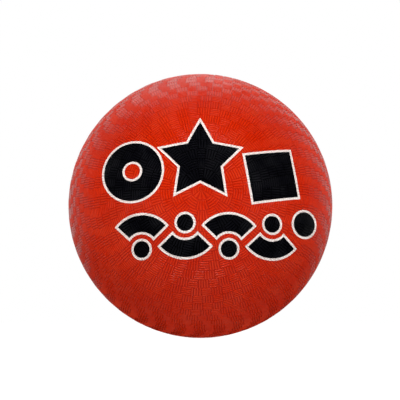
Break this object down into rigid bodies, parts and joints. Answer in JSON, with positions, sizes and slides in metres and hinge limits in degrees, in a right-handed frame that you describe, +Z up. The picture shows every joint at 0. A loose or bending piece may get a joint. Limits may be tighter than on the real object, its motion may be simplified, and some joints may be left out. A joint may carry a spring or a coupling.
{
  "type": "playground ball",
  "caption": "Inflatable round rubber playground ball with a moulded basket-weave skin, a print of plain play shapes and a flush needle valve.",
  "frame": {"origin": "centre of the ball", "axes": "+Z up, +Y along the mould axis towards the valve, so that the print round the front pole faces -Y"},
  "size_m": [0.216, 0.216, 0.216],
  "materials": {
    "cover_rubber": "moulded basket-weave ridges, satin",
    "bladder_rubber": "smooth butyl, matt",
    "patch_rubber": "calendered sheet, matt",
    "valve_rubber": "moulded, smooth",
    "plug_rubber": "soft moulded rubber, smooth",
    "black_ink": "screen-printed flexible ink, semi-gloss",
    "white_ink": "screen-printed flexible ink, satin"
  },
  "bodies": {
    "root": {"cover_front": "cover_rubber", "cover_rear": "cover_rubber", "bladder": "bladder_rubber", "valve_patch": "patch_rubber", "valve_housing": "valve_rubber", "valve_plug": "plug_rubber", "print_black": "black_ink", "print_white": "white_ink"}
  },
  "joints": []
}
